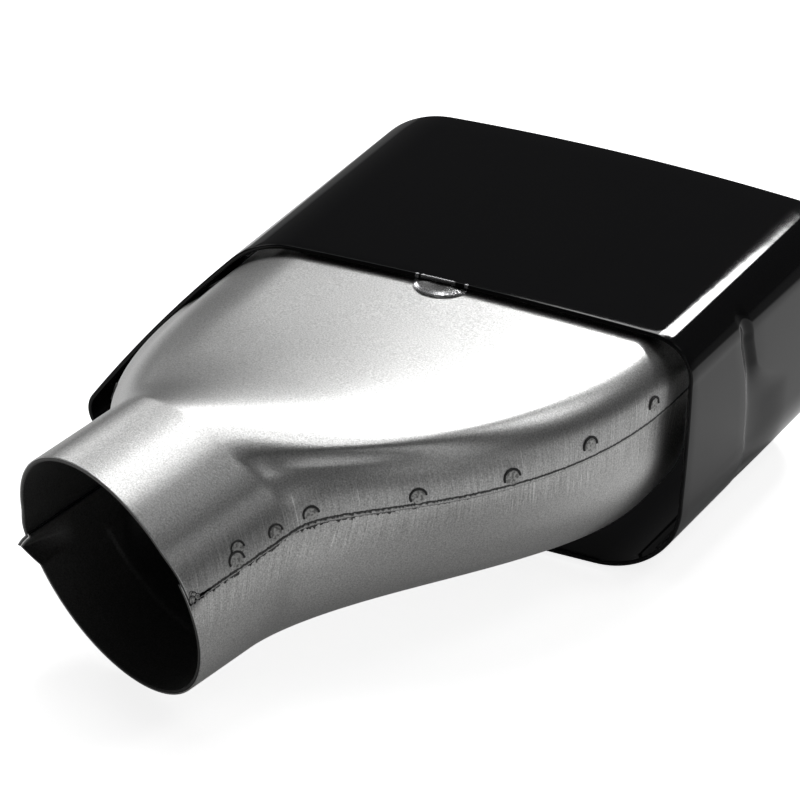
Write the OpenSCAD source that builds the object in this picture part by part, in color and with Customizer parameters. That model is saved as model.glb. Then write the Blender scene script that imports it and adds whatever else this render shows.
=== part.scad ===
// Exhaust tip: a black formed outlet shell on a bare pressed steel adapter.
// Millimetres. The origin is the centre of the inlet collar's mouth.
// +Y is the way the gas leaves the outlet, +X is across, +Z is up.

/* [Sheet] */
// Thickness of the sheet that every piece is pressed from
sheet = 1.2; // [0.8:0.1:1.5]

/* [Inlet collar] */
// Bore of the round collar, which slips over the pipe
bore_d = 64; // [56:0.5:74]
// Length of the round collar at its right side
collar_right = 32; // [28:0.5:42]
// Length of the round collar at its top
collar_top = 28; // [24:0.5:40]
// Length of the round collar at its left side
collar_left = 27.5; // [24:0.5:40]
// Length of the round collar at its underside
collar_low = 16.5; // [14:0.5:36]
// Depth to which the collar is bored for the pipe
bore_len = 20; // [14:0.5:22]
// How far the collar's line turns to the right of the outlet's, in degrees
collar_yaw = 21; // [0:1:30]
// How far the collar's line climbs, in degrees
collar_pitch = 13.2; // [0:0.1:20]
// Height of the ledge inside the collar that stops the pipe
stop_ledge = 0.4; // [0.2:0.1:0.8]

/* [Outlet shell] */
// Height of the shell at its corners
shell_h = 68; // [56:1:84]
// Width between the two upper corners
shell_top_w = 123.6; // [100:0.2:150]
// Width between the two lower corners
shell_bottom_w = 177; // [150:1:200]
// How far the lower right corner lies inside the upper one
shell_lean = 4.2; // [0:0.1:10]
// Length of the shell from its rear edge to the outlet
shell_len = 88; // [66:1:120]
// How much shorter the shell is at its right side
shell_skew = 2.8; // [0:0.2:8]
// How far the outlet's upper edge bows forward in its middle
outlet_bow = 1.6; // [0:0.1:4]
// Distance from the collar's mouth forward to the shell's rear edge
shell_ahead = 110.4; // [96:0.1:140]
// Distance of the upper right corner to the right of the collar's centre
shell_right = 101.8; // [86:0.1:118]
// Crown of the upper side
crown_top = 1.4; // [0.4:0.1:4]
// Bulge of the slanted left side
crown_left = 2.2; // [0.4:0.1:5]
// Bulge of the right side
crown_right = 0.9; // [0.4:0.1:3]
// Sag of the lower side
crown_bottom = 0.6; // [0.3:0.1:2]
// Corner radius, lower right
corner_low_right = 25; // [14:1:28]
// Corner radius, upper right
corner_top_right = 12; // [9:1:18]
// Corner radius, upper left
corner_top_left = 27; // [12:1:36]
// Corner radius, lower left
corner_low_left = 7; // [6:0.5:14]

/* [Outlet lip] */
// Outside radius of the rolled lip
lip_r = 2; // [1.6:0.1:3]
// How far the rolled lip returns into the outlet
lip_back = 9; // [6:0.5:16]

/* [Pressed panel on the shell's right side] */
// Depth of the panel
panel_depth = 0.8; // [0.2:0.1:1.6]
// Distance from the rear edge to the panel's front crease, at its foot
panel_foot = 36.6; // [28:0.2:46]
// How much nearer the crease comes to the rear edge at its head
panel_slant = 11; // [0:0.5:16]
// Width of the crease
crease_w = 3; // [2:0.2:5]

/* [Adapter in the shell] */
// Gap between shell and adapter, upper side
gap_top = 0.9; // [0.5:0.1:2]
// Gap between shell and adapter, slanted left side
gap_left = 1.7; // [1.6:0.1:4]
// Gap between shell and adapter, right side
gap_right = 5.4; // [2:0.1:8]
// Gap between shell and adapter, lower side
gap_bottom = 9.6; // [2:0.1:14]
// How far the adapter reaches into the shell
adapter_in = 12; // [6:0.5:24]
// Corner radius of the adapter's end, lower right
end_low_right = 29; // [20:1:34]
// Corner radius of the adapter's end, upper right
end_top_right = 10; // [7:1:14]
// Corner radius of the adapter's end, upper left
end_top_left = 32; // [12:1:34]
// Corner radius of the adapter's end, lower left
end_low_left = 13.5; // [6:0.5:15]

/* [Adapter shape] */
// Length over which the right flank leaves the collar's line
leave_right = 16; // [4:0.5:20]
// Length over which the top leaves the collar's line
leave_top = 6.5; // [3:0.5:20]
// Length over which the left flank leaves the collar's line
leave_left = 9.5; // [4:0.5:20]
// Length over which the underside leaves the collar's line
leave_bottom = 16; // [3:0.5:20]
// Length over which the right flank comes into the shell's line
arrive_right = 68; // [30:1:76]
// Length over which the top comes into the shell's line
arrive_top = 76; // [30:1:80]
// Length over which the left flank comes into the shell's line
arrive_left = 63; // [16:1:70]
// Length over which the underside comes into the shell's line
arrive_bottom = 6.2; // [4:0.2:40]

/* [Lap seam] */
// Turn of the seam about the collar's line, in degrees above level at the right
seam_turn = 13.4; // [0:0.2:24]
// How far up the right side the seam runs, as a share of that side
seam_right_share = 0.716; // [0.4:0.004:0.85]
// How far down the slanted left side the seam runs, as a share of that side
seam_left_share = 0.75; // [0.4:0.05:0.85]
// Width of the lap on the collar
lap_w = 5; // [3:0.5:7]
// Clearance between the two lapped sheets
lap_clear = 0.12; // [0.05:0.01:0.3]
// How far the pinched ear at the mouth stands out of the collar
ear_out = 6; // [3:0.5:9]
// Length of the pinched ear along the collar
ear_len = 12; // [6:1:20]
// Half the width of the pinched ear, in degrees about the collar's line
ear_turn = 7; // [4:0.5:8]

/* [Bridge tab] */
// Radius of the round tab that joins shell and adapter
tab_r = 8.6; // [6:0.2:11]
// How far the tab stands out behind the shell's rear edge
tab_out = 6.2; // [4:0.2:7]
// How far the tab reaches under the shell
tab_in = 5; // [3:0.5:8]
// Distance of the tab to the left of the shell's upper right corner
tab_left = 72; // [40:1:90]
// Height of the tab's raised rim
tab_rim = 1.3; // [0.8:0.1:2]
// Clearance of the tab to each of the two sheets
tab_clear = 0.12; // [0.05:0.01:0.3]

/* [Hidden] */

$fn = 96;

collar_r = bore_d / 2 + sheet;
// the shell's underside is level with the collar's lowest point
base_z = crown_bottom - collar_r * cos(collar_pitch);

flow = [
    sin(collar_yaw) * cos(collar_pitch),
    cos(collar_yaw) * cos(collar_pitch),
    sin(collar_pitch)
];
across = [cos(collar_yaw), -sin(collar_yaw), 0];
above = cross(across, flow);

// Angles about the collar's line where the corners of the adapter's end begin
shoulder_right = [38.4, 52];
shoulder_left = [123.6, 140.2];
heel_left = [200.8, 220];
heel_right = [311.8, 346.2];

// Plain helpers

function smooth(t) = let (k = min(1, max(0, t))) k * k * (3 - 2 * k);
function steps(from, to, count) = [for (i = [0 : count - 1]) from + (to - from) * i / count];
function heading(v) = atan2(v.y, v.x);
function after(from, to) = to < from ? to + 360 : to;
function backwards(list) = [for (i = [len(list) - 1 : -1 : 0]) list[i]];
function unit(v) = v / norm(v);

// A section is four shallow arcs with four fillets tangent to them.
// Corners go lower right, upper right, upper left, lower left.

function inward(p, q) = let (d = unit(q - p)) [-d.y, d.x];
function bow_r(p, q, bow) = (pow(norm(q - p), 2) / 4 + bow * bow) / (2 * bow);
function bow_centre(p, q, bow) = (p + q) / 2 + inward(p, q) * (bow_r(p, q, bow) - bow);

function circles_meet(a, ra, b, rb, near) =
    let (
        d = norm(b - a),
        u = (b - a) / d,
        along = (ra * ra - rb * rb + d * d) / (2 * d),
        side = sqrt(max(0, ra * ra - along * along)) * [-u.y, u.x],
        foot = a + along * u
    )
    norm(foot + side - near) < norm(foot - side - near) ? foot + side : foot - side;

function section(corners, bows, radii) =
    let (
        radius = [for (i = [0 : 3]) bow_r(corners[i], corners[(i + 1) % 4], bows[i])],
        centre = [for (i = [0 : 3]) bow_centre(corners[i], corners[(i + 1) % 4], bows[i])],
        fillet = [for (i = [0 : 3]) let (b = (i + 3) % 4)
            circles_meet(centre[b], radius[b] - radii[i], centre[i], radius[i] - radii[i], corners[i])]
    )
    [for (i = [0 : 3]) let (
            n = (i + 1) % 4,
            a0 = heading(fillet[i] - centre[i]),
            a1 = heading(fillet[n] - centre[i]),
            a2 = heading(fillet[n] - centre[n])
        )
        each [[centre[i], radius[i], a0, after(a0, a1)], [fillet[n], radii[n], a1, after(a1, a2)]]];

// u runs once round a section from 0 to 8: right side, fillet, top, fillet, left, and so on
function on_section(spans, u, out = 0) =
    let (
        w = u - 8 * floor(u / 8),
        s = spans[floor(w)],
        a = s[2] + (s[3] - s[2]) * (w - floor(w))
    )
    s[0] + (s[1] + out) * [cos(a), sin(a)];

function offset_line(p, q, d) = [p + inward(p, q) * d, unit(q - p)];
function lines_meet(l, m) =
    let (gap = m[0] - l[0], det = l[1].y * m[1].x - l[1].x * m[1].y)
    l[0] + l[1] * (gap.y * m[1].x - gap.x * m[1].y) / det;
function inset(corners, d) =
    let (lines = [for (i = [0 : 3]) offset_line(corners[i], corners[(i + 1) % 4], d[i])])
    [for (i = [0 : 3]) lines_meet(lines[(i + 3) % 4], lines[i])];

// The shell's section and the adapter's end section inside it

shell_corners = [
    [shell_right - shell_lean, base_z],
    [shell_right, base_z + shell_h],
    [shell_right - shell_top_w, base_z + shell_h],
    [shell_right - shell_lean - shell_bottom_w, base_z]
];
shell_section = section(
    shell_corners,
    [crown_right, crown_top, crown_left, crown_bottom],
    [corner_low_right, corner_top_right, corner_top_left, corner_low_left]
);
end_section = section(
    inset(shell_corners, [for (g = [gap_right, gap_top, gap_left, gap_bottom]) g + sheet]),
    [crown_right, crown_top, crown_left, crown_bottom],
    [end_low_right, end_top_right, end_top_left, end_low_left]
);

// Where the seam crosses the end section
seam_u = seam_right_share;
far_seam_u = 4 + seam_left_share;

// The adapter: each point of the collar's circle is led along a smooth path to
// its own point of the end section. A step along it, for finding its slope
hair = 0.02;

turn_table = [
    [seam_u, seam_turn],
    [1, shoulder_right[0]],
    [2, shoulder_right[1]],
    [3, shoulder_left[0]],
    [4, shoulder_left[1]],
    [far_seam_u, 180 + seam_turn],
    [5, heel_left[0]],
    [6, heel_left[1]],
    [7, heel_right[0]],
    [8, heel_right[1]],
    [8 + seam_u, 360 + seam_turn]
];
function around(u, values) = lookup(u, [
    [seam_u, values[0]],
    [2.5, values[1]],
    [4.5, values[2]],
    [6.5, values[3]],
    [8 + seam_u, values[0]]
]);
function straight(u) = around(u, [collar_right, collar_top, collar_left, collar_low]);
function leave(u) = around(u, [leave_right, leave_top, leave_left, leave_bottom]);
function arrive(u) = around(u, [arrive_right, arrive_top, arrive_left, arrive_bottom]);

function on_collar(turn, r, s) = flow * s + (across * cos(turn) + above * sin(turn)) * r;
function wrap(u) = u < seam_u ? u + 8 : u > seam_u + 8 ? u - 8 : u;
function turn_at(u) = let (w = wrap(u)) lookup(w, turn_table) + (u - w) * 360 / 8;

// v is 0 at the mouth, 1 at the collar's end, 2 where the shell starts, 3 at the adapter's end
function skin(u, v) =
    let (
        turn = turn_at(u),
        w = wrap(u),
        e = on_section(end_section, u),
        start = on_collar(turn, collar_r, straight(w)),
        end = [e.x, shell_ahead, e.y],
        t = v - 1
    )
    v <= 1 ? on_collar(turn, collar_r, straight(w) * v) :
    v >= 2 ? end + [0, (v - 2) * adapter_in, 0] :
        pow(1 - t, 3) * start
        + 3 * pow(1 - t, 2) * t * (start + flow * leave(w))
        + 3 * (1 - t) * t * t * (end - [0, arrive(w), 0])
        + pow(t, 3) * end;

function skin_normal(u, v) =
    let (
        du = skin(u + hair, v) - skin(u - hair, v),
        dv = skin(u, min(3, v + hair)) - skin(u, max(0, v - hair))
    )
    unit(cross(dv, du));

// The sheet is thicker on the collar before it is bored, which leaves the ledge
function depth(u, v) = skin(u, v) * flow;
function ledge(u, v) = stop_ledge * (1 - smooth(depth(u, v) / bore_len - 1));

// The lap, as shares of the way round: the upper half rides over the lower one for
// a little more than the lap, and comes down again between the lap and the shoulder
lap_turn = lap_w / collar_r * 180 / PI;
lap_margin = 1.15;
near_lap_u = (1 - seam_u) * lap_turn / (shoulder_right[0] - seam_turn);
far_lap_u = (far_seam_u - 4) * lap_turn / (180 + seam_turn - shoulder_left[1]);
near_full = seam_u + near_lap_u * lap_margin;
far_full = far_seam_u - far_lap_u * lap_margin;
// Beyond the collar the right side comes down as far as this share of its shoulder
near_spread = 0.8;
// The left side comes down over this many laps on the collar, and one more beyond it
far_spread = 1.6;
function near_down(v) = 1 + near_spread * smooth(v - 1);
function far_down(v) = far_full - far_lap_u * (far_spread + smooth(v - 1));
function lapped(u, v) =
    1 - smooth((u - near_full) / (near_down(v) - near_full))
      + smooth((u - far_down(v)) / (far_full - far_down(v)));

// The two edges are pinched outward together at the mouth, on the left
ear_u = far_lap_u * ear_turn / lap_turn;
function pinch(u, v) = ear_out
    * (1 - smooth(depth(u, v) / ear_len))
    * max(0, 1 - abs(turn_at(u) - 180 - seam_turn) / ear_turn);

function ride(u, v) = (sheet + lap_clear) * lapped(u, v) + pinch(u, v);

// The lower half is eased off the pipe by the lap's clearance at its edges and in
// the ear. The easing ends within these shares of a side past the ear and the seam
ease_left = 1 / 6;
ease_right = 1.5 * ear_u;
ear_past_u = (5 - far_seam_u) * ear_turn / (heel_left[0] - 180 - seam_turn);
function eased(u) =
    1 - smooth((u - far_seam_u - ear_past_u) / ease_left)
      + smooth((u - 8 - seam_u + ease_right) / ear_u);

ear_v = ear_len / straight(far_seam_u);
rows = concat(steps(0, ear_v, 3), steps(ear_v, 1, 3), steps(1, 2, 13), [2, 3]);
upper_columns = concat(
    [seam_u],
    steps(near_full, 1, 4),
    steps(1, 2, 7),
    steps(2, 3, 9),
    steps(3, 4, 7),
    steps(4, far_full, 8),
    [far_full, far_seam_u - ear_u, far_seam_u - ear_u / 2, far_seam_u]
);
lower_columns = concat(
    [far_seam_u - far_lap_u, far_seam_u - ear_u, far_seam_u - ear_u / 2],
    steps(far_seam_u, 5, 4),
    steps(5, 6, 6),
    steps(6, 7, 9),
    steps(7, 8, 9),
    steps(8, 8 + seam_u, 6),
    [8 + seam_u, 8 + seam_u + near_lap_u]
);

// A pressed sheet: one row of points after another, outside face and then inside face
module pressed_sheet(rings) {
    n = len(rings[0]);
    half = n / 2;
    last = len(rings) - 1;
    sides = [for (r = [0 : last - 1], c = [0 : n - 1])
        let (d = (c + 1) % n)
        [r * n + c, r * n + d, (r + 1) * n + d, (r + 1) * n + c]];
    near_edge = [for (c = [0 : half - 2]) [n - 1 - c, n - 2 - c, c + 1, c]];
    far_edge = [for (c = [0 : half - 2])
        [last * n + c, last * n + c + 1, last * n + n - 2 - c, last * n + n - 1 - c]];
    polyhedron(
        points = [for (ring = rings) each ring],
        faces = concat(sides, near_edge, far_edge),
        convexity = 8
    );
}

// A sheet closed round a section: each column is a closed profile
module closed_sheet(columns) {
    n = len(columns[0]);
    m = len(columns);
    polyhedron(
        points = [for (column = columns) each column],
        faces = [for (c = [0 : m - 1], r = [0 : n - 1])
            let (d = (c + 1) % m, s = (r + 1) % n)
            [c * n + r, d * n + r, d * n + s, c * n + s]],
        convexity = 8
    );
}

module along_collar() {
    rotate([collar_pitch - 90, 0, -collar_yaw]) children();
}

module pipe_bore() {
    along_collar() translate([0, 0, -collar_r]) cylinder(r = bore_d / 2, h = bore_len + collar_r);
}

module adapter_upper_half() {
    color([0.72, 0.72, 0.71])
    difference() {
        pressed_sheet([for (v = rows) concat(
            [for (u = upper_columns) skin(u, v) + skin_normal(u, v) * ride(u, v)],
            [for (u = backwards(upper_columns))
                skin(u, v) + skin_normal(u, v) * (ride(u, v) - sheet - ledge(u, v) * (1 - lapped(u, v)))]
        )]);
        pipe_bore();
    }
}

module adapter_lower_half() {
    color([0.66, 0.65, 0.63])
    difference() {
        pressed_sheet([for (v = rows) concat(
            [for (u = lower_columns) skin(u, v) + skin_normal(u, v) * pinch(u, v)],
            [for (u = backwards(lower_columns))
                let (off = ledge(u, v) * (1 - eased(u)) - lap_clear * eased(u))
                skin(u, v) + skin_normal(u, v) * (pinch(u, v) - sheet - off)]
        )]);
        pipe_bore();
    }
}

// Outlet shell: rear edge, pressed panel, rolled lip and return

// The panel takes the whole right side and fades out in the two fillets beside it
panel_fade = [[0, 1], [1, 1], [1.5, 0], [7.7, 0], [8, 1]];
// The crease leans back more and more towards its head
crease_lean = [[0, 0], [0.5, 0.15], [1, 0.5], [1.6, 1], [7, 0]];
function panel_share(u) = lookup(u, panel_fade);
function crease_y(u) = panel_foot - panel_slant * lookup(u, crease_lean);
function outlet_y(u) =
    let (
        k = (on_section(shell_section, u).x - shell_corners[2].x) / shell_top_w,
        within = min(1, max(0, k))
    )
    shell_len - shell_skew * k + outlet_bow * 4 * within * (1 - within);

lip_arc = [0, 30, 60, 90, 120, 150, 180];
lip_inner_r = lip_r - sheet;

// Profile of the shell's wall at u, as [forward, outward] pairs
function shell_profile(u) =
    let (y = outlet_y(u), c = crease_y(u), d = -panel_depth * panel_share(u))
    concat(
        [[0, d], [c - crease_w / 2, d], [c, d / 2], [c + crease_w / 2, 0]],
        [for (a = lip_arc) [y - lip_r + lip_r * sin(a), lip_r * cos(a) - lip_r]],
        [[y - lip_back, -2 * lip_r], [y - lip_back, sheet - 2 * lip_r]],
        [for (a = backwards(lip_arc)) [y - lip_r + lip_inner_r * sin(a), lip_inner_r * cos(a) - lip_r]],
        [[c + crease_w / 2, -sheet], [c, d / 2 - sheet], [c - crease_w / 2, d - sheet], [0, d - sheet]]
    );

shell_columns = concat(
    steps(0, 1, 7), steps(1, 2, 8), steps(2, 3, 8), steps(3, 4, 8),
    steps(4, 5, 6), steps(5, 6, 7), steps(6, 7, 8), steps(7, 8, 10)
);

module outer_shell() {
    color([0.06, 0.06, 0.065])
    closed_sheet([for (u = shell_columns) [for (p = backwards(shell_profile(u)))
        let (q = on_section(shell_section, u, p[1]))
        [q.x, shell_ahead + p[0], q.y]]]);
}

// Round tab that lies on the adapter and reaches under the shell's edge

tab_x = shell_right - tab_left;
tab_t = gap_top - 2 * tab_clear;
end_top = end_section[2];
tab_z = end_top[0].y + sqrt(pow(end_top[1], 2) - pow(tab_x - end_top[0].x, 2)) + tab_clear;

module bridge_tab() {
    reach = tab_out + tab_in;
    color([0.75, 0.75, 0.76])
    translate([tab_x, shell_ahead, tab_z]) {
        linear_extrude(tab_t)
        intersection() {
            translate([0, tab_r - tab_out]) circle(tab_r);
            translate([-tab_r, -tab_out]) square([2 * tab_r, reach]);
        }
        linear_extrude(tab_t + tab_rim)
        intersection() {
            translate([0, tab_r - tab_out])
            difference() {
                circle(tab_r);
                circle(tab_r - sheet);
            }
            translate([-tab_r, -tab_out]) square([2 * tab_r, tab_out - sheet]);
        }
    }
}

outer_shell();
adapter_upper_half();
adapter_lower_half();
bridge_tab();
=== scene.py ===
import math

import bpy
import numpy as np
from mathutils import Matrix


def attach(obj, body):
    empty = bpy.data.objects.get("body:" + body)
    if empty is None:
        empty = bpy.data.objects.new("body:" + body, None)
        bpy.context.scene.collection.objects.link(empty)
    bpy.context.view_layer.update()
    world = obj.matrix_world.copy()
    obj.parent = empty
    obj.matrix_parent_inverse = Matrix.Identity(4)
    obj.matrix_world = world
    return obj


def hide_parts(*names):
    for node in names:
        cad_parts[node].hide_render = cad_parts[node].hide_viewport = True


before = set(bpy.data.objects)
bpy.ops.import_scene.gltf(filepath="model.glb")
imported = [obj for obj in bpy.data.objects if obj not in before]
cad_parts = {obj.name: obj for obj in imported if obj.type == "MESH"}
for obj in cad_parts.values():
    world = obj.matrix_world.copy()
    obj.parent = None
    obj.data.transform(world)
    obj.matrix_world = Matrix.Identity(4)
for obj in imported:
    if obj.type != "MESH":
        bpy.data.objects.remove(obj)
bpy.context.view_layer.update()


# Outlet shell
#
# A sleeve formed from one sheet of steel and coated gloss black inside and out. Its section
# is a trapezoid with bowed sides; the outlet's edge is rolled inward and returns as a lip,
# and the right side carries a shallow pressed panel with a slanted crease.


def smooth(t):
    k = np.clip(t, 0, 1)
    return k * k * (3 - 2 * k)


def steps(start, end, count):
    return list(np.linspace(start, end, count, endpoint=False))


def heading(v):
    return math.atan2(v[1], v[0])


def arc_section(corners, bows, radii):
    """Eight arcs (centre, radius, first angle, last angle) that go once round a section."""
    corners = [np.array(c, float) for c in corners]
    radius, centre, fillet = [], [], []
    for i in range(4):
        p, q = corners[i], corners[(i + 1) % 4]
        chord = np.linalg.norm(q - p)
        r = (chord**2 / 4 + bows[i] ** 2) / (2 * bows[i])
        along = (q - p) / chord
        centre.append((p + q) / 2 + np.array([-along[1], along[0]]) * (r - bows[i]))
        radius.append(r)
    for i in range(4):
        b = (i + 3) % 4
        ra, rb = radius[b] - radii[i], radius[i] - radii[i]
        gap = np.linalg.norm(centre[i] - centre[b])
        u = (centre[i] - centre[b]) / gap
        a = (ra**2 - rb**2 + gap**2) / (2 * gap)
        side = math.sqrt(max(0, ra**2 - a**2)) * np.array([-u[1], u[0]])
        foot = centre[b] + a * u
        fillet.append(min((foot + side, foot - side), key=lambda m: np.linalg.norm(m - corners[i])))
    spans = []
    for i in range(4):
        n = (i + 1) % 4
        a0 = heading(fillet[i] - centre[i])
        a1 = heading(fillet[n] - centre[i])
        a2 = heading(fillet[n] - centre[n])
        a1 += 2 * math.pi * (a1 < a0)
        spans.append((centre[i], radius[i], a0, a1))
        a1 = heading(fillet[n] - centre[i])
        a2 += 2 * math.pi * (a2 < a1)
        spans.append((fillet[n], radii[n], a1, a2))
    return spans


def on_section(spans, u, out=0.0):
    """Points of a section at u, which runs once round from 0 to 8, moved out by a distance."""
    w = np.mod(np.asarray(u, float), 8)
    k = w.astype(int)
    cx, cz, r, a0, a1 = np.array([(c[0], c[1], r, a, b) for c, r, a, b in spans]).T
    a = a0[k] + (a1[k] - a0[k]) * (w - k)
    return cx[k] + (r[k] + out) * np.cos(a), cz[k] + (r[k] + out) * np.sin(a)


class Value:
    """A node's output that takes arithmetic."""

    def __init__(self, graph, socket):
        self.graph = graph
        self.socket = socket

    def math(self, operation, *others, swapped=False, **settings):
        operands = [self, *others]
        if swapped:
            operands.reverse()
        return self.graph.node(
            "ShaderNodeMath", dict(enumerate(operands)), operation=operation, **settings
        )

    def __add__(self, other):
        return self.math("ADD", other)

    __radd__ = __add__

    def __sub__(self, other):
        return self.math("SUBTRACT", other)

    def __rsub__(self, other):
        return self.math("SUBTRACT", other, swapped=True)

    def __mul__(self, other):
        return self.math("MULTIPLY", other)

    __rmul__ = __mul__

    def __truediv__(self, other):
        return self.math("DIVIDE", other)

    def __rtruediv__(self, other):
        return self.math("DIVIDE", other, swapped=True)

    def __pow__(self, other):
        return self.math("POWER", other)

    def __rpow__(self, other):
        return self.math("POWER", other, swapped=True)

    def __abs__(self):
        return self.math("ABSOLUTE")

    def clamp(self):
        return self.math("ADD", 0.0, use_clamp=True)

    def ramp(self, start, end):
        """0 at start, 1 at end, eased; start may be the larger."""
        t = ((self - start) / (end - start)).clamp()
        return t * t * (3.0 - 2.0 * t)


class Nodes:
    """A tree's nodes. An input is given a value, another node's output or a list of outputs."""

    def __init__(self, tree):
        self.tree = tree

    def node(self, kind, inputs=None, output=0, **settings):
        made = self.tree.nodes.new(kind)
        for key, value in settings.items():
            setattr(made, key, value)
        for key, value in (inputs or {}).items():
            if isinstance(value, Value):
                self.tree.links.new(value.socket, made.inputs[key])
            elif isinstance(value, list):
                for one in value:
                    self.tree.links.new(one.socket, made.inputs[key])
            else:
                made.inputs[key].default_value = value
        return None if output is None else Value(self, made.outputs[output])


class Graph(Nodes):
    """A material's nodes."""

    def __init__(self, name):
        self.material = bpy.data.materials.new(name)
        self.material.use_nodes = True
        super().__init__(self.material.node_tree)
        self.tree.nodes.clear()

    def place(self):
        return self.node("ShaderNodeTexCoord", output="Object")

    def split(self, vector):
        one = self.node("ShaderNodeSeparateXYZ", {0: vector})
        return [Value(self, s) for s in one.socket.node.outputs]

    def vector(self, x, y, z):
        return self.node("ShaderNodeCombineXYZ", {0: x, 1: y, 2: z})

    def noise(self, vector, scale, detail=2.0, roughness=0.5):
        return self.node(
            "ShaderNodeTexNoise",
            {"Vector": vector, "Scale": scale, "Detail": detail, "Roughness": roughness},
        )

    def mix(self, factor, a, b):
        return self.node("ShaderNodeMix", {0: factor, 6: a, 7: b}, output=2, data_type="RGBA")

    def uv(self, name):
        return self.split(self.node("ShaderNodeUVMap", uv_map=name))[:2]

    def bump(self, height, distance):
        return self.node("ShaderNodeBump", {"Height": height, "Distance": distance})

    def surface(self, linked, **constants):
        """The Principled shader; constants are set on its own sockets."""
        made = self.node("ShaderNodeBsdfPrincipled", linked)
        for key, value in constants.items():
            made.socket.node.inputs[key.replace("_", " ")].default_value = value
        self.node("ShaderNodeOutputMaterial", {"Surface": made}, output=None)
        return self.material


def mesh_piece(name, points, faces, material, uv=None):
    """A smooth piece made of points and faces; uv holds one pair for each point."""
    data = bpy.data.meshes.new(name)
    data.from_pydata([tuple(p) for p in points], [], [tuple(f) for f in faces])
    if uv is not None:
        layer = data.uv_layers.new(name="flat")
        index = np.empty(len(data.loops), int)
        data.loops.foreach_get("vertex_index", index)
        layer.data.foreach_set("uv", np.asarray(uv, float)[index].ravel())
    data.polygons.foreach_set("use_smooth", [True] * len(data.polygons))
    data.materials.append(material)
    data.validate()
    data.update()
    piece = bpy.data.objects.new(name, data)
    bpy.context.scene.collection.objects.link(piece)
    return piece


def ring_faces(rings, count, closed):
    """Faces between rings of points; closed joins the last ring to the first."""
    r = np.arange(rings if closed else rings - 1)[:, None]
    c = np.arange(count)[None, :]
    d = (c + 1) % count
    s = (r + 1) % rings
    quads = np.stack([r * count + c, r * count + d, s * count + d, s * count + c], -1)
    return quads.reshape(-1, 4)


SHEET = 0.0012
COLLAR_R = 0.0332
PITCH = math.radians(13.2)
YAW = math.radians(21)
BASE_Z = 0.0006 - COLLAR_R * math.cos(PITCH)
SHELL_AHEAD = 0.1104
SHELL_LEN = 0.088
SHELL_H = 0.068
TOP_LEFT, TOP_RIGHT = -0.0218, 0.1018
# the corners go round from the lower right one, and the sides are right, top, left and bottom
SHELL_CORNERS = [
    (0.0976, BASE_Z),
    (TOP_RIGHT, BASE_Z + SHELL_H),
    (TOP_LEFT, BASE_Z + SHELL_H),
    (-0.0794, BASE_Z),
]
SHELL_BOWS = (0.0009, 0.0014, 0.0022, 0.0006)
SHELL_FILLETS = (0.025, 0.012, 0.027, 0.007)
shell_section = arc_section(SHELL_CORNERS, SHELL_BOWS, SHELL_FILLETS)
OUTLET_SLANT = 0.0028
OUTLET_BOW = 0.0016
PANEL_DEPTH = 0.0008
CREASE_DEPTH = 0.0007
# places round the section, and how far ahead of the rear edge the crease runs there
CREASE_U = [0, 0.33, 0.63, 0.94, 1.365, 7.4, 7.475, 7.655, 7.84]
CREASE_AHEAD = [0.0368, 0.036, 0.0338, 0.0298, 0.0275, 0.02, 0.0228, 0.0372, 0.0372]
CREASE_WALL = (-0.0016, 0.0012)
CREASE_RISE = 0.0038
LONG_RISE = 0.018
LIP_R = 0.002
LIP_BACK = 0.009
EDGE_R = 0.0004


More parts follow.
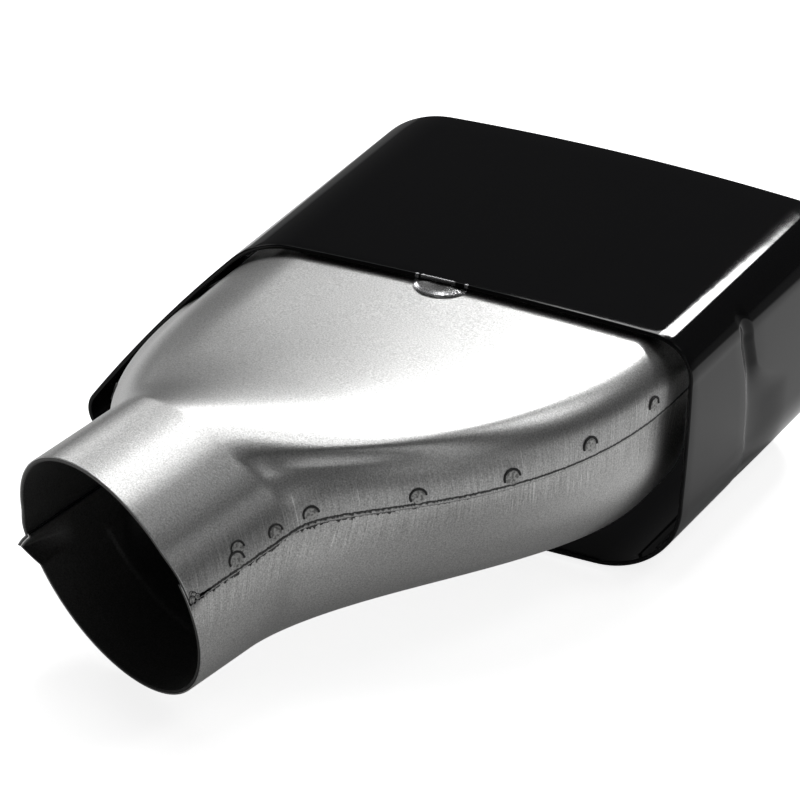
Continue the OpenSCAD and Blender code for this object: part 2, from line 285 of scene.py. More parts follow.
def shell_profile(u):
    """Rows of (forward, outward) round the wall at u, from the rear edge out, in and back."""
    x, _ = on_section(shell_section, u)
    k = (x - TOP_LEFT) / (TOP_RIGHT - TOP_LEFT)
    within = np.clip(k, 0, 1)
    outlet = SHELL_LEN - OUTLET_SLANT * k + OUTLET_BOW * 4 * within * (1 - within)
    bend = outlet - LIP_R
    panel = -PANEL_DEPTH * np.interp(u, [0, 1, 1.5, 7.7, 8], [1, 1, 0, 0, 1])
    low = panel - CREASE_DEPTH * np.interp(u, [0, 1, 1.5, 7.35, 7.6, 8], [1, 1, 0, 0, 1, 1])
    crease = np.interp(u, CREASE_U, CREASE_AHEAD)
    start, end = crease + CREASE_WALL[0], crease + CREASE_WALL[1]
    front = end + CREASE_RISE
    front += LONG_RISE * (1 - smooth((u - 0.25) / 0.45) + smooth((u - 7.4) / 0.3))
    rows = []
    for a in np.radians(np.linspace(0, 90, 7)):
        rows.append((EDGE_R - EDGE_R * np.cos(a) + 0 * u, panel - EDGE_R + EDGE_R * np.sin(a)))
    for t in steps(0, 1, 8)[1:]:
        rows.append((EDGE_R + t * (start - EDGE_R), panel))
    for t in steps(0, 1, 10):
        rows.append((start + (end - start) * t, panel + (low - panel) * smooth(t)))
    for t in steps(0, 1, 16):
        rows.append((end + (front - end) * t, low * (1 - smooth(t))))
    for t in steps(0, 1, 8):
        rows.append((front + (bend - front) * t, 0 * u))
    for a in np.radians(np.linspace(0, 180, 19)):
        rows.append((bend + LIP_R * np.sin(a), LIP_R * np.cos(a) - LIP_R + 0 * u))
    rows.append((outlet - LIP_BACK, -2 * LIP_R + 0 * u))
    rows.append((outlet - LIP_BACK, SHEET - 2 * LIP_R + 0 * u))
    inner = LIP_R - SHEET
    for a in np.radians(np.linspace(180, 0, 13)):
        rows.append((bend + inner * np.sin(a), inner * np.cos(a) - LIP_R + 0 * u))
    for t in steps(0, 1, 6)[1:]:
        rows.append((bend + (front - bend) * t, -SHEET + 0 * u))
    for t in steps(1, 0, 12):
        rows.append((end + (front - end) * t, panel * (1 - smooth(t)) - SHEET))
    rows.append((end, panel - SHEET))
    for t in steps(1, 0, 6):
        rows.append((EDGE_R + t * (start - EDGE_R), panel - SHEET))
    for a in np.radians(np.linspace(90, 0, 7)):
        inside = panel - SHEET + EDGE_R
        rows.append((EDGE_R - EDGE_R * np.cos(a) + 0 * u, inside - EDGE_R * np.sin(a)))
    return rows


BARE_MIDDLE = 0.0305
BARE_EDGE = SHELL_AHEAD + 0.0010
BARE_ABOVE = 0.020
BEADS = (0.0245, 0.0261, 0.0383)
BEAD_Y = SHELL_AHEAD + 0.0002
gloss = Graph("gloss_black")
spot = gloss.place()
dust = gloss.noise(spot, 9000.0, 0.0).ramp(0.78, 0.84)
haze = gloss.noise(spot, 60.0, 3.0)
side, ahead, up = gloss.split(spot)
bare = abs(side - BARE_MIDDLE).ramp(0.0050, 0.0040)
bare = bare * (ahead + haze * 0.0004).ramp(BARE_EDGE, BARE_EDGE - 0.0004)
for bead in BEADS:
    bare = bare + ((side - bead) ** 2 + (ahead - BEAD_Y) ** 2).ramp(0.0006**2, 0.0004**2)
bare = bare.clamp() * up.ramp(BARE_ABOVE, BARE_ABOVE + 0.005)
black = gloss.surface(
    {
        "Base Color": gloss.mix(
            (dust * 0.04 + bare).clamp(), (0.004, 0.004, 0.0045, 1), (0.45, 0.45, 0.46, 1)
        ),
        "Metallic": bare,
        "Roughness": 0.05 + haze * 0.03 + bare * 0.2,
        "Normal": gloss.bump(gloss.noise(spot, 90.0, 2.0), 0.00002),
    },
    IOR=1.3,
)

u_shell = np.concatenate([steps(k, k + 1, 26 if k % 2 else 34) for k in range(8)])
profile = shell_profile(u_shell)
rings = []
for forward, outward in profile[::-1]:
    x, z = on_section(shell_section, u_shell, outward)
    rings.append(np.stack([x, SHELL_AHEAD + forward, z], -1))
shell = mesh_piece(
    "shell_skin",
    np.concatenate(rings),
    ring_faces(len(rings), len(u_shell), True),
    black,
)
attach(shell, "root")
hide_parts("outer_shell")


# Adapter, lower half
#
# The lower of two half shells pressed from bare steel sheet, satin from bead blasting. It
# leads from the round collar to the wide end inside the shell; its edges run on under the
# upper half's as a narrow lap.

FLOW = np.array([math.sin(YAW) * math.cos(PITCH), math.cos(YAW) * math.cos(PITCH), math.sin(PITCH)])
ACROSS = np.array([math.cos(YAW), -math.sin(YAW), 0])
ABOVE = np.cross(ACROSS, FLOW)
ADAPTER_IN = 0.012


def inset(corners, distances):
    """The corners of a quadrilateral whose sides have moved inward."""
    lines = []
    for i in range(4):
        p, q = np.array(corners[i]), np.array(corners[(i + 1) % 4])
        along = (q - p) / np.linalg.norm(q - p)
        lines.append((p + np.array([-along[1], along[0]]) * distances[i], along))
    moved = []
    for i in range(4):
        (a, d), (b, e) = lines[(i + 3) % 4], lines[i]
        gap = b - a
        moved.append(a + d * (gap[1] * e[0] - gap[0] * e[1]) / (d[1] * e[0] - d[0] * e[1]))
    return moved


END_GAPS = (0.0054, 0.0009, 0.0017, 0.0096)
END_FILLETS = (0.029, 0.010, 0.032, 0.0135)
end_corners = inset(SHELL_CORNERS, [gap + SHEET for gap in END_GAPS])
end_section = arc_section(end_corners, SHELL_BOWS, END_FILLETS)
SEAM = 0.716
FAR_SEAM = 4.75
SEAM_TURN = 13.4
FAR_TURN = 180 + SEAM_TURN
ABOVE_SEAM = 38.4
ABOVE_FAR = 140.2
BELOW_FAR = 200.8
TURN_U = [SEAM, 1, 2, 3, 4, FAR_SEAM, 5, 6, 7, 8, 8 + SEAM]
TURN = [
    SEAM_TURN, ABOVE_SEAM, 52, 123.6, ABOVE_FAR, FAR_TURN, BELOW_FAR, 220, 311.8, 346.2,
    360 + SEAM_TURN,
]
# how far the metal runs straight out of the collar, and the pulls of its path at both ends,
# at the right, above, at the left and below
STRAIGHT = (0.032, 0.028, 0.0275, 0.0165)
LEAVE = (0.016, 0.0065, 0.0095, 0.016)
ARRIVE = (0.068, 0.076, 0.063, 0.0062)


def turn_at(u):
    """The angle round the collar, in degrees, that leads to u on the end section."""
    w = u + 8 * (u < SEAM) - 8 * (u > SEAM + 8)
    return np.interp(w, TURN_U, TURN) - (w - u) * 45


def around(u, values):
    """A length that goes evenly from its value at the right to those above, left and below."""
    w = u + 8 * (u < SEAM) - 8 * (u > SEAM + 8)
    return np.interp(w, [SEAM, 2.5, 4.5, 6.5, 8 + SEAM], [*values, values[0]])


def skin(u, v):
    """The adapter's outside at u round it and v along it, as points [v, u]."""
    u = np.asarray(u, float)[None, :]
    v = np.asarray(v, float)[:, None]
    turn = np.radians(turn_at(u))[..., None]
    ring = (np.cos(turn) * ACROSS + np.sin(turn) * ABOVE) * COLLAR_R
    ex, ez = on_section(end_section, u)
    end = np.stack([ex, np.full_like(ex, SHELL_AHEAD), ez], -1)
    straight = around(u, STRAIGHT)[..., None]
    start = ring + FLOW * straight
    leave = around(u, LEAVE)[..., None]
    arrive = around(u, ARRIVE)[..., None]
    t = np.clip(v - 1, 0, 1)[..., None]
    ahead = np.array([0, 1, 0])
    middle = (
        (1 - t) ** 3 * start
        + 3 * (1 - t) ** 2 * t * (start + FLOW * leave)
        + 3 * (1 - t) * t * t * (end - ahead * arrive)
        + t**3 * end
    )
    collar = ring + FLOW * straight * np.minimum(v, 1)[..., None]
    beyond = end + ahead * ADAPTER_IN * (v - 2)[..., None]
    v = v[..., None]
    return np.where(v <= 1, collar, np.where(v >= 2, beyond, middle))


def skin_normal(u, v):
    u, v = np.asarray(u, float), np.asarray(v, float)
    du = skin(u + 0.01, v) - skin(u - 0.01, v)
    dv = skin(u, np.minimum(3, v + 0.01)) - skin(u, np.maximum(0, v - 0.01))
    n = np.cross(dv, du)
    return n / np.linalg.norm(n, axis=-1, keepdims=True)


LAP = 0.005
LAP_TURN = math.degrees(LAP / COLLAR_R)
LAP_CLEAR = 0.00012
# the lap's width beside the seen seam and the far one, as shares of the sides that they cut
NEAR_LAP = (1 - SEAM) * LAP_TURN / (ABOVE_SEAM - SEAM_TURN)
FAR_LAP = (FAR_SEAM - 4) * LAP_TURN / (FAR_TURN - ABOVE_FAR)
EAR_TURN = 7
EAR_OUT = 0.006
EAR_DEEP = 0.012
LEDGE_IN = 0.020
LEDGE_HIGH = 0.0004
EASE_ROUNDS = 14
INSIDE_MAP = 1.0


def pinch(u, depth):
    """How far the ear at the mouth stands out."""
    off = 1 - np.abs(turn_at(u) - FAR_TURN) / EAR_TURN
    return EAR_OUT * (1 - smooth(depth / EAR_DEEP)) * np.maximum(0, off)


def ledge(depth):
    """The step inside the collar that stops the pipe."""
    rise = smooth((depth - LEDGE_IN) / LEDGE_HIGH + 0.5)
    return LEDGE_HIGH * rise * (1 - smooth(depth / LEDGE_IN - 1))


ROWS = np.concatenate(
    [[0, 0.006], steps(0.012, 1, 40), steps(1, 1.3, 28), steps(1.3, 2, 72), steps(2, 3, 6), [3]]
)


def flat_map(u, v, seam):
    """Length along the seam, and distance from it round the sheet, for points [v, u]."""
    line = skin([seam], v)[:, 0]
    along = np.concatenate([[0], np.cumsum(np.linalg.norm(np.diff(line, axis=0), axis=1))])
    fine = np.linspace(min(u.min(), seam), max(u.max(), seam), 400)
    body = skin(fine, v)
    run = np.concatenate(
        [np.zeros((len(v), 1)), np.cumsum(np.linalg.norm(np.diff(body, axis=1), axis=2), axis=1)],
        axis=1,
    )
    across = np.array([np.interp(u, fine, r) - np.interp(seam, fine, r) for r in run])
    return np.stack([np.broadcast_to(along[:, None], across.shape), across], -1)


def half_shell(name, u, lift, thick, seam, material):
    """A pressed half: columns u, with the outside lifted and the sheet's thickness by [v, u].

    The map of its inside stands INSIDE_MAP off, so that the finish can tell the two apart.
    """
    v = ROWS
    base, normal = skin(u, v), skin_normal(u, v)
    outer = base + normal * lift[..., None]
    inner = base + normal * (lift - thick)[..., None]
    ease = (smooth((v - 1) * 5) * smooth((2 - v) * 3))[:, None, None] / 2
    for sheet_side in (outer, inner):
        for _ in range(EASE_ROUNDS):
            middle = (sheet_side[:, :-2] + sheet_side[:, 2:]) / 2
            sheet_side[:, 1:-1] += (middle - sheet_side[:, 1:-1]) * ease
    rings = np.concatenate([outer, inner[:, ::-1]], axis=1)
    spread = flat_map(u, v, seam)
    flat = np.concatenate([spread, spread[:, ::-1] + np.array([0, INSIDE_MAP])], axis=1)
    count, half = rings.shape[1], len(u)
    faces = ring_faces(len(v), count, False)[:, ::-1].tolist()
    last = (len(v) - 1) * count
    for c in range(half - 1):
        faces.append([c, c + 1, count - 2 - c, count - 1 - c])
        faces.append([last + count - 1 - c, last + count - 2 - c, last + c + 1, last + c])
    return mesh_piece(name, rings.reshape(-1, 3), faces, material, flat.reshape(-1, 2))


def bare_steel(name, tint, ground, seed, burr_and_gap_shadow):
    """Satin sheet steel, ground so far from the seam. With burr_and_gap_shadow the sheet gets a
    ragged dark band beside the seam, a painted shadow of the lap's gap with a burr; without it, a
    thin dark line, painted shade of the rolled-over edge.
    """
    steel = Graph(name)
    spot = steel.place()
    along, across = steel.uv("flat")
    # The sheet's inner face. Below, its colour is darkened to near black as painted shade inside the
    # tube, and its roughness is raised.
    inside = across.ramp(0.62 * INSIDE_MAP, 0.68 * INSIDE_MAP)
    cut = across.ramp(0.24 * INSIDE_MAP, 0.30 * INSIDE_MAP) * (1.0 - inside)
    off = abs(across)
    grain = steel.noise(spot, 2600.0, 1.0)
    cloud = steel.noise(spot, 40.0, 2.0)
    near = off.ramp(ground, ground * 0.3)
    slant = along - across * 0.3 + seed
    fine = steel.noise(steel.vector(slant * 3000.0, across * 90.0, seed), 1.0, 2.0)
    long = steel.noise(steel.vector(slant * 2100.0, across * 55.0, seed + 4.0), 1.0, 0.0)
    patch = steel.noise(steel.vector(along * 60.0, across * 40.0, seed + 8.0), 1.0, 1.0)
    scratch = long.ramp(0.7, 0.76) * patch.ramp(0.45, 0.6) * near
    rag = steel.noise(steel.vector(along * 1100.0, across * 500.0, seed + 2.0), 1.0, 3.0)
    # With burr_and_gap_shadow: a ragged dark band on the lower sheet beside the upper sheet's edge,
    # a painted shadow of the lap's gap with a ragged burr edge.
    if burr_and_gap_shadow:
        fringe = (off - (rag - 0.36).clamp() * burr_and_gap_shadow).ramp(0.0006, 0.0003)
    # Without it: a thin dark line on the upper sheet along its edge, painted shade of the
    # rolled-over edge.
    else:
        fringe = abs(off - 0.0006 - (rag - 0.5) * 0.0008).ramp(0.00042, 0.0002)
    mouth = (off + along * 0.5 + (rag - 0.5) * 0.003).ramp(0.0042, 0.0012)
    dark = (fringe * 0.85 + mouth * 0.6).clamp() * (1.0 - inside) * (1.0 - cut)
    shade = 1.0 + (grain - 0.5) * 1.1 + (cloud - 0.5) * 0.06
    # In the ground band beside the seam: real grinding marks and scratches, plus an even darkening
    # of 0.14 that is painted shade on the flank.
    shade = shade + ((fine - 0.5) * 0.8 + scratch * 0.6 - 0.14) * near
    shade = shade * (1.0 - dark) * (1.0 - inside * 0.8) * (1.0 - cut * 0.92)
    colour = steel.node("ShaderNodeVectorMath", {0: tint, 3: shade}, operation="SCALE")
    height = grain * 0.3 + fine * near * 0.5 - dark * 1.5
    return steel.surface(
        {
            "Base Color": colour,
            "Roughness": 0.34 + (cloud - 0.5) * 0.04 + near * 0.06 - scratch * 0.1 + inside * 0.4,
            "Normal": steel.bump(height, 0.0001),
        },
        Metallic=1.0,
    )


# The lower half's tint is painted lighter than the upper half's, though both are the same steel:
# painted light standing in for light from the table below.
lower_steel = bare_steel(
    "lower_steel", tint=(0.69, 0.688, 0.68), ground=0.016, seed=0.0, burr_and_gap_shadow=0.0036
)
u_lower = np.concatenate([
    steps(FAR_SEAM - FAR_LAP, FAR_SEAM, 6),
    steps(FAR_SEAM, 5, 14),
    steps(5, 6, 18),
    steps(6, 7, 34),
    steps(7, 8, 30),
    steps(8, 8 + SEAM, 18),
    np.linspace(8 + SEAM, 8 + SEAM + NEAR_LAP, 5),
])
grid_u, grid_v = np.meshgrid(u_lower, ROWS)
depth = skin(u_lower, ROWS) @ FLOW
EAR_PAST = (5 - FAR_SEAM) * EAR_TURN / (BELOW_FAR - FAR_TURN)
eased = (
    1
    - smooth((grid_u - FAR_SEAM - EAR_PAST) * 6)
    + smooth((grid_u - 8 - SEAM) / (FAR_LAP * EAR_TURN / LAP_TURN) + 1.5)
)
lower = half_shell(
    "adapter_lower_skin",
    u_lower,
    pinch(grid_u, depth),
    SHEET + ledge(depth) * (1 - eased) - LAP_CLEAR * eased,
    8 + SEAM,
    lower_steel,
)
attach(lower, "root")
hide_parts("adapter_lower_half")


# Adapter, upper half
#
# Pressed from the same sheet. Its edges are joggled outward by one sheet to ride over the
# lower half's, trimmed by hand along the seam, and pinched with them into an ear at the mouth.

JOGGLE_PAST = 1.15
NEAR_FULL = SEAM + NEAR_LAP * JOGGLE_PAST
FAR_FULL = FAR_SEAM - FAR_LAP * JOGGLE_PAST


def lapped(u, v):
    """1 where the upper half rides over the lower one, and down to 0 past the joggle."""
    near_down = 1 + 0.8 * smooth(v - 1)
    far_down = FAR_FULL - FAR_LAP * (1.6 + smooth(v - 1))
    return (
        1
        - smooth((u - NEAR_FULL) / (near_down - NEAR_FULL))
        + smooth((u - far_down) / (FAR_FULL - far_down))
    )


upper_steel = bare_steel(
    "upper_steel", tint=(0.615, 0.615, 0.61), ground=0.014, seed=7.0, burr_and_gap_shadow=None
)
u_upper = np.concatenate([
    [SEAM, SEAM + NEAR_LAP * 0.04],
    steps(SEAM + NEAR_LAP * 0.08, NEAR_FULL, 6),
    steps(NEAR_FULL, 1, 14),
    steps(1, 2, 24),
    steps(2, 3, 36),
    steps(3, 4, 24),
    steps(4, FAR_FULL, 22),
    np.linspace(FAR_FULL, FAR_SEAM, 8),
])
grid_u, grid_v = np.meshgrid(u_upper, ROWS)
depth = skin(u_upper, ROWS) @ FLOW
lap = lapped(grid_u, grid_v)
upper = half_shell(
    "adapter_upper_skin",
    u_upper,
    (SHEET + LAP_CLEAR) * lap + pinch(grid_u, depth),
    SHEET + ledge(depth) * (1 - lap),
    SEAM,
    upper_steel,
)
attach(upper, "root")
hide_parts("adapter_upper_half")


# Spot welds
#
# Marks of the spot welds that hold the two halves together along the lap: a flat round spot
# with a raised rim on its upper side, coloured near black as a painted shadow of the dent's upper
# edge, and beside the mouth a few lumps of the end weld.

MARK_R = 0.00205
RIM_R = 0.0003
RAGGEDNESS = 0.00022
RIM_START = math.radians(-12)
RIM_SWEEP = math.radians(200)
DISC_SCALE = (0.85, 0.85, 0.04)
JAG_SCALE = 1100.0
weld_nodes = Nodes(bpy.data.node_groups.new("weld_marks", "GeometryNodeTree"))
group_face = weld_nodes.tree.interface
weld_input = {}
for name, kind in (
    ("Points", "Geometry"),
    ("Radius", "Float"),
    ("Rim", "Float"),
    ("Raggedness", "Float"),
    ("Material", "Material"),
    ("Rim material", "Material"),
):
    made = group_face.new_socket(name, in_out="INPUT", socket_type="NodeSocket" + kind)
    weld_input[name] = made.identifier
group_face.new_socket("Marks", in_out="OUTPUT", socket_type="NodeSocketGeometry")
given = weld_nodes.node("NodeGroupInput").socket.node.outputs
point_input, radius_input, rim_input, ragged_input, material_input, rim_material_input = [
    Value(weld_nodes, given[name]) for name in weld_input
]

arc = weld_nodes.node(
    "GeometryNodeCurveArc",
    {
        "Resolution": 18,
        "Radius": radius_input,
        "Start Angle": RIM_START,
        "Sweep Angle": RIM_SWEEP,
    },
    mode="RADIUS",
)
wire = weld_nodes.node(
    "GeometryNodeCurvePrimitiveCircle", {"Resolution": 8, "Radius": rim_input}, mode="RADIUS"
)
rim = weld_nodes.node(
    "GeometryNodeCurveToMesh", {"Curve": arc, "Profile Curve": wire, "Fill Caps": True}
)
# The rim's faces are marked for the near-black material, a painted shadow of the dent's upper edge.
rim = weld_nodes.node(
    "GeometryNodeStoreNamedAttribute",
    {"Geometry": rim, "Name": "burnt", "Value": True},
    data_type="BOOLEAN",
    domain="FACE",
)
ball = weld_nodes.node("GeometryNodeMeshIcoSphere", {"Radius": radius_input, "Subdivisions": 4})
disc = weld_nodes.node("GeometryNodeTransform", {"Geometry": ball, "Scale": DISC_SCALE})
mark = weld_nodes.node("GeometryNodeJoinGeometry", {"Geometry": [rim, disc]})
turn = weld_nodes.node("GeometryNodeInputNamedAttribute", {"Name": "turn"}, data_type="FLOAT_VECTOR")
size = weld_nodes.node("GeometryNodeInputNamedAttribute", {"Name": "size"}, data_type="FLOAT")
scattered = weld_nodes.node(
    "GeometryNodeInstanceOnPoints",
    {
        "Points": point_input,
        "Instance": mark,
        "Rotation": weld_nodes.node("FunctionNodeEulerToRotation", {"Euler": turn}),
        "Scale": size,
    },
)
realized = weld_nodes.node("GeometryNodeRealizeInstances", {"Geometry": scattered})
jag = weld_nodes.node("ShaderNodeTexNoise", {"Scale": JAG_SCALE}, output="Color")
jag = weld_nodes.node("ShaderNodeVectorMath", {0: jag, 1: (0.5, 0.5, 0.5)}, operation="SUBTRACT")
jag = weld_nodes.node("ShaderNodeVectorMath", {0: jag, "Scale": ragged_input}, operation="SCALE")
ragged = weld_nodes.node("GeometryNodeSetPosition", {"Geometry": realized, "Offset": jag})
bare_marks = weld_nodes.node(
    "GeometryNodeSetMaterial", {"Geometry": ragged, "Material": material_input}
)
burnt = weld_nodes.node("GeometryNodeInputNamedAttribute", {"Name": "burnt"}, data_type="BOOLEAN")
finished = weld_nodes.node(
    "GeometryNodeSetMaterial",
    {"Geometry": bare_marks, "Selection": burnt, "Material": rim_material_input},
)
weld_nodes.node("NodeGroupOutput", {"Marks": finished}, output=None)


def grey(level):
    return (level, level, level, 1)


weld_graph = Graph("weld_steel")
spot = weld_graph.place()
speckle = weld_graph.noise(spot, 1500.0, 1.0)
weld_material = weld_graph.surface(
    {
        "Base Color": weld_graph.mix(
            speckle.ramp(0.36, 0.6), (0.26, 0.26, 0.255, 1), (0.58, 0.58, 0.57, 1)
        ),
        "Roughness": 0.5 + speckle * 0.1,
        "Normal": weld_graph.bump(speckle, 0.00005),
    },
    Metallic=1.0,
)
# Near-black, mottled rim colour: painted shadow of the dent's upper edge.
rim_graph = Graph("weld_rim")
rim_mottle = rim_graph.noise(rim_graph.place(), 900.0, 1.0)
rim_material = rim_graph.surface(
    {
        "Base Color": rim_graph.mix(rim_mottle, grey(0.012), grey(0.05)),
        "Roughness": 0.55 + rim_mottle * 0.2,
    },
)

# each mark's row along the adapter, its distance above the sheet's edge, and its size
RIGHT_MARKS = [
    (0.535, 0.0050, 0.9), (0.485, 0.0026, 1.05), (0.875, 0.0029, 0.95), (1.122, 0.0029, 0.95),
    (1.428, 0.0032, 1.0), (1.633, 0.0036, 1.05), (1.80, 0.0048, 1.05), (1.945, 0.0047, 1.0),
]
LEFT_MARKS = [(0.6, 0.0027, 1.0), (1.1, 0.0027, 1.0), (1.4, 0.0027, 1.0), (1.68, 0.0027, 1.0)]
LUMPS = [(0.02, 0.0009, 0.42), (0.045, 0.0017, 0.36), (0.07, 0.0008, 0.34), (0.03, 0.0024, 0.26)]


def lap_face(u, v):
    """The upper half's outside at rows v, near its lapped edge."""
    return skin(u, v) + skin_normal(u, v) * (SHEET + LAP_CLEAR)


NUDGE = 0.02
spots, turns, mark_sizes = [], [], []
for edge_u, lead, marks in (
    (SEAM, 1, RIGHT_MARKS), (FAR_SEAM, -1, LEFT_MARKS), (SEAM, 1, LUMPS)
):
    for row, up, size in marks:
        near_u = np.array([edge_u, edge_u + lead * NUDGE])
        edge = lap_face(near_u, [row])[0]
        step = np.linalg.norm(edge[1] - edge[0]) / NUDGE
        at_u = edge_u + lead * up / step
        here = lap_face([at_u], [row])[0, 0]
        out_way = skin_normal([at_u], [row])[0, 0]
        up_way = here - edge[0]
        up_way -= out_way * (up_way @ out_way)
        up_way /= np.linalg.norm(up_way)
        basis = Matrix(np.stack([np.cross(up_way, out_way), up_way, out_way], 1).tolist())
        spots.append(here)
        turns.append(tuple(basis.to_euler()))
        mark_sizes.append(size)
mark_points = mesh_piece("weld_points", spots, [], weld_material)
for name, kind, key, values in (
    ("turn", "FLOAT_VECTOR", "vector", turns), ("size", "FLOAT", "value", mark_sizes)
):
    layer = mark_points.data.attributes.new(name, kind, "POINT")
    layer.data.foreach_set(key, np.array(values, float).ravel())
marker = mark_points.modifiers.new("marks", "NODES")
marker.node_group = weld_nodes.tree
marker[weld_input["Radius"]] = MARK_R
marker[weld_input["Rim"]] = RIM_R
marker[weld_input["Raggedness"]] = RAGGEDNESS
marker[weld_input["Material"]] = weld_material
marker[weld_input["Rim material"]] = rim_material
built = mark_points.evaluated_get(bpy.context.evaluated_depsgraph_get())
plain = bpy.data.meshes.new_from_object(built)
mark_points.modifiers.remove(marker)
plain.polygons.foreach_set("use_smooth", [True] * len(plain.polygons))
welds = bpy.data.objects.new("spot_welds", plain)
bpy.context.scene.collection.objects.link(welds)
bpy.data.objects.remove(mark_points)
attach(welds, "root")


# Bridge tab
#
# A small round steel plate welded to the adapter and to the underside of the shell's edge.
# Its outer side is bevelled and leans up a little, and weld spatter lies on its right part.

TAB_R = 0.0076
TAB_OUT = 0.0060
TAB_UNDER = 0.005
TAB_LEAN = 0.0004
TAB_BEVEL = 0.00055
TAB_X = TOP_RIGHT - 0.0706
TAB_Y = SHELL_AHEAD + TAB_R - TAB_OUT
TAB_THICK = END_GAPS[1] - 2 * LAP_CLEAR
top_centre, top_r = end_section[2][:2]
TAB_Z = top_centre[1] + math.sqrt(top_r**2 - (TAB_X - top_centre[0]) ** 2) + LAP_CLEAR

tab_graph = Graph("tab_steel")
spot = tab_graph.place()
side, ahead, _ = tab_graph.split(spot)
from_middle = ((side - TAB_X) ** 2 + (ahead - TAB_Y) ** 2) ** 0.5
grain = tab_graph.noise(spot, 1500.0, 2.0)
spatter = (side - TAB_X).ramp(0.001, 0.0042) * grain.ramp(0.56, 0.48)
tab_material = tab_graph.surface(
    {
        # Painted light and shade on one steel plate: the middle is dark grey, a painted dark
        # reflection, and the bevelled rim is near white, a painted highlight. Spatter darkens the
        # rim's right part.
        "Base Color": tab_graph.mix(
            from_middle.ramp(0.87 * TAB_R, 0.9 * TAB_R) * (1.0 - spatter * 0.75),
            tab_graph.mix(grain, grey(0.12), grey(0.2)),
            (0.86, 0.86, 0.88, 1),
        ),
        "Roughness": 0.24 + grain * 0.06,
        "Normal": tab_graph.bump(grain * (0.06 + spatter), 0.00006),
    },
    Metallic=1.0,
)

turn = np.radians(np.linspace(0, 360, 144, endpoint=False))[None, :]
front = np.maximum(np.sin(turn), 0.01)
reach = np.minimum(TAB_R, (TAB_UNDER - (TAB_R - TAB_OUT)) / front)
share = np.concatenate([[0.02, 0.4, 0.7], np.linspace(0.78, 1, 16)])[:, None]
lean = smooth((-np.sin(turn) - 0.3) / 0.3) * smooth((share - 0.25) / 0.3)
high = TAB_THICK + TAB_LEAN * lean - TAB_BEVEL * np.clip((share - 0.86) / 0.14, 0, 1)
x = TAB_X + share * reach * np.cos(turn)
y = TAB_Y + share * reach * np.sin(turn)
top = np.stack([x, y, TAB_Z + high + 0 * x], -1)
base = np.stack([x, y, TAB_Z + 0 * x], -1)
rings = np.concatenate([top, base[::-1]])
count = rings.shape[1]
faces = ring_faces(len(rings), count, False)[:, ::-1].tolist()
faces.append(list(range(count)))
faces.append([(len(rings) - 1) * count + k for k in range(count)][::-1])
tab = mesh_piece("tab_skin", rings.reshape(-1, 3), faces, tab_material)
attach(tab, "root")
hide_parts("bridge_tab")


# Floor, light and camera
#
# A plain white table and background, seven soft lamps round the part, and a strip lamp that
# the black shell's corner mirrors. What the part mirrors of the table is dark from WHITE_TO on.

WHITE_TO = 0.30
floor_graph = Graph("table")
camera_ray = floor_graph.node("ShaderNodeLightPath", output="Is Camera Ray")
spot = floor_graph.place()
table_noise = floor_graph.noise(spot, 3.0)
_, ahead, _ = floor_graph.split(spot)
white = floor_graph.mix(table_noise, grey(0.77), grey(0.79))
floor_material = floor_graph.surface(
    {
        "Base Color": floor_graph.mix(
            camera_ray,
            floor_graph.mix(ahead.ramp(WHITE_TO, WHITE_TO + 0.06), white, grey(0.05)),
            grey(0.86),
        ),
        "Emission Color": floor_graph.mix(camera_ray, grey(0.06), grey(0.84)),
    },
    Roughness=0.9,
    Emission_Strength=1.0,
)
FLOOR_Z = -0.03233
floor = mesh_piece(
    "table",
    [(-4, -4, FLOOR_Z), (4, -4, FLOOR_Z), (4, 6, FLOOR_Z), (-4, 6, FLOOR_Z)],
    [(0, 1, 2, 3)],
    floor_material,
)

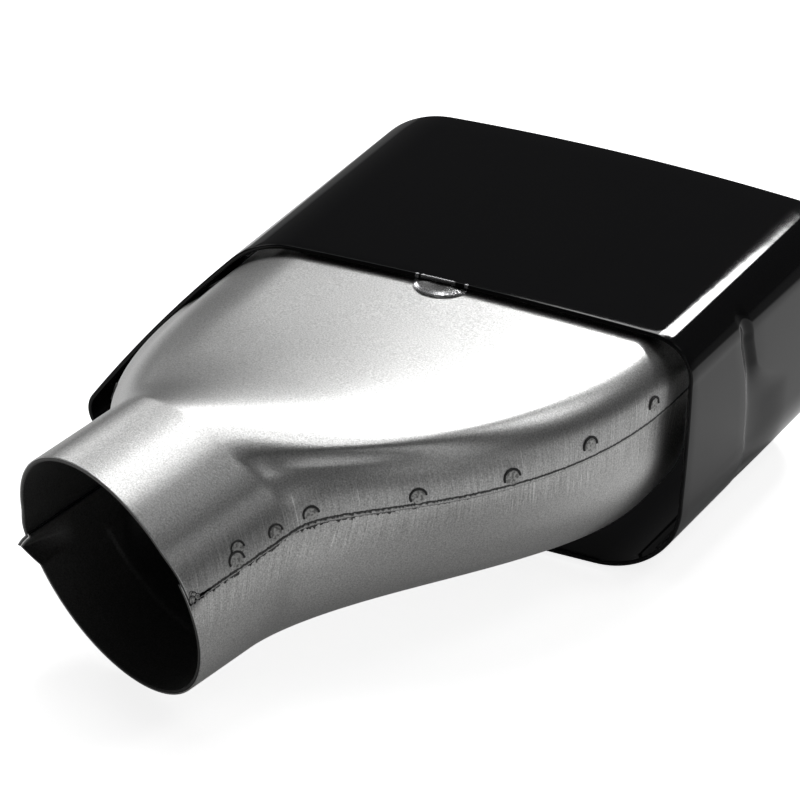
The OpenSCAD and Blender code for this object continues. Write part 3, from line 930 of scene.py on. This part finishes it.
WORLD_LEVEL = 0.07
world = bpy.data.worlds.new("studio")
bpy.context.scene.world = world
world.use_nodes = True
world.node_tree.nodes.clear()
sky = Nodes(world.node_tree)
seen = sky.node("ShaderNodeLightPath", output="Is Camera Ray")
level = sky.node("ShaderNodeMapRange", {"Value": seen, "To Min": WORLD_LEVEL, "To Max": 1.0})
background = sky.node("ShaderNodeBackground", {"Strength": level})
sky.node("ShaderNodeOutputWorld", {"Surface": background}, output=None)


def softbox(name, place, aim, size, power):
    """An area lamp at a place, turned to a point."""
    data = bpy.data.lights.new(name, "AREA")
    data.shape = "RECTANGLE"
    data.size, data.size_y = size
    data.energy = power
    lamp = bpy.data.objects.new(name, data)
    bpy.context.scene.collection.objects.link(lamp)
    lamp.location = place
    away = np.array(place, float) - np.array(aim, float)
    away /= np.linalg.norm(away)
    lamp.rotation_euler = (math.acos(away[2]), 0, math.atan2(away[1], away[0]) + math.pi / 2)
    return lamp


CENTRE = (0, 0.1, 0.05)
LAMP_AWAY = 1.8


def from_centre(azimuth, elevation):
    """A place round the part, in degrees from +X and from level."""
    a, e = math.radians(azimuth), math.radians(elevation)
    return (
        CENTRE[0] + LAMP_AWAY * math.cos(e) * math.cos(a),
        CENTRE[1] + LAMP_AWAY * math.cos(e) * math.sin(a),
        CENTRE[2] + LAMP_AWAY * math.sin(e),
    )


WIDE = (0.6, 0.6)
softbox("overhead", from_centre(0, 90), CENTRE, WIDE, 3.4)
softbox("behind", from_centre(105, 44), CENTRE, WIDE, 6.6)
softbox("behind_left", from_centre(132, 45), CENTRE, WIDE, 1.4)
softbox("high_left", from_centre(115, 64), CENTRE, WIDE, 4.0)
softbox("strip", (-0.048, 1.56, 1.14), (0.1, 0.15, 0.03), (0.577, 0.2), 13.0)
softbox("left", from_centre(150, 25), CENTRE, WIDE, 2.4)
softbox("right", from_centre(30, 50), CENTRE, WIDE, 2.6)
softbox("front", from_centre(330, 22), CENTRE, WIDE, 0.8)

camera_data = bpy.data.cameras.new("camera")
camera_data.lens = 252
camera_data.sensor_width = 36
camera_data.clip_end = 20
camera = bpy.data.objects.new("camera", camera_data)
bpy.context.scene.collection.objects.link(camera)
camera.location = (0.60728, -0.99093, 0.66729)
camera.rotation_euler = (math.radians(61.897), 0, math.radians(28.079))
bpy.context.scene.camera = camera
bpy.context.scene.view_settings.view_transform = "Standard"
